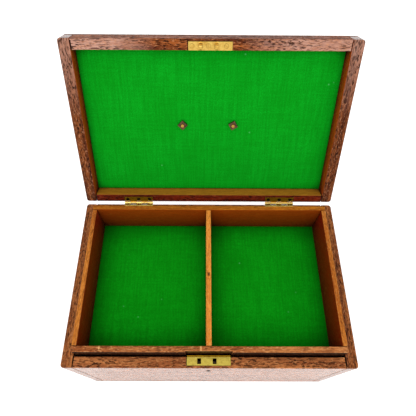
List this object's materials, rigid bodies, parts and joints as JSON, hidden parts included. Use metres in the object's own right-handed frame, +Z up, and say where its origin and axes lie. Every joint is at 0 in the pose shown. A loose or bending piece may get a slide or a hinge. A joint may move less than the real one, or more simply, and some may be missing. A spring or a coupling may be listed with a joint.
{
  "type": "wooden box with lift-out tray",
  "caption": "Rectangular mahogany box with a hinged lid lined in green baize, a lift-out divided tray over a deep well, brass butt hinges, a box lock and a bail handle.",
  "frame": {"origin": "middle of the carcass's underside, where it stands", "axes": "+Z up, -Y towards the front with the keyhole, +X to the right seen from the front; the lid is stored open on its stop"},
  "size_m": [0.305, 0.3003, 0.3159],
  "materials": {
    "mahogany": "worn French-polished mahogany with open pores",
    "tray_wood": "lighter oiled wood on the tray's walls",
    "green_baize": "bright green woollen baize",
    "brass": "clean satin brass",
    "aged_brass": "dulled brass",
    "steel": "dark worn steel"
  },
  "bodies": {
    "case": {"bottom_board": "mahogany", "side_board_left": "mahogany", "side_board_right": "mahogany", "front_board": "mahogany", "back_board": "mahogany", "tray_bearer_left": "mahogany", "tray_bearer_right": "mahogany", "hinge_case_leaf_left": "aged_brass", "hinge_case_leaf_right": "aged_brass", "hinge_pin_left": "brass", "hinge_pin_right": "brass", "case_leaf_screw_left_1": "steel", "case_leaf_screw_left_2": "steel", "case_leaf_screw_left_3": "steel", "case_leaf_screw_right_1": "steel", "case_leaf_screw_right_2": "steel", "case_leaf_screw_right_3": "steel", "lock_selvage": "brass", "lock_case": "aged_brass", "lock_backplate": "aged_brass", "lock_drill_pin": "steel", "lock_spring": "steel", "lock_screw_left": "aged_brass", "lock_screw_right": "aged_brass"},
    "lid": {"lid_panel": "mahogany", "lid_rail_front": "mahogany", "lid_rail_back": "mahogany", "lid_rail_left": "mahogany", "lid_rail_right": "mahogany", "lid_baize": "green_baize", "strike_plate": "brass", "staple_left": "brass", "staple_right": "brass", "strike_screw_1": "aged_brass", "strike_screw_2": "aged_brass", "strike_screw_3": "aged_brass", "hinge_lid_leaf_left": "aged_brass", "hinge_lid_leaf_right": "aged_brass", "lid_leaf_screw_left_1": "steel", "lid_leaf_screw_left_2": "steel", "lid_leaf_screw_left_3": "steel", "lid_leaf_screw_right_1": "steel", "lid_leaf_screw_right_2": "steel", "lid_leaf_screw_right_3": "steel", "handle_post_left": "brass", "handle_post_right": "brass", "handle_nut_left": "aged_brass", "handle_nut_right": "aged_brass"},
    "tray": {"tray_floor": "tray_wood", "tray_wall_front": "tray_wood", "tray_wall_back": "tray_wood", "tray_wall_left": "tray_wood", "tray_wall_right": "tray_wood", "tray_divider": "tray_wood", "tray_baize_left": "green_baize", "tray_baize_right": "green_baize"},
    "handle": {"handle_bail": "brass"},
    "bolt": {"lock_bolt": "aged_brass"}
  },
  "joints": [
    {"name": "lid_hinge", "type": "hinge", "parent": "case", "child": "lid", "pos_m": [0, 0.0974, 0.1452], "axis": [-1, 0, 0], "range_deg": [-117.5, 0]},
    {"name": "tray_lift", "type": "slide", "parent": "case", "child": "tray", "axis": [0, 0, 1], "range_m": [0, 0.115]},
    {"name": "handle_swing", "type": "hinge", "parent": "lid", "child": "handle", "pos_m": [-0.0024, 0.1681, 0.2182], "axis": [1, 0, 0], "range_deg": [-38, 163]},
    {"name": "bolt_throw", "type": "slide", "parent": "case", "child": "bolt", "axis": [1, 0, 0], "range_m": [0, 0.0045]}
  ]
}
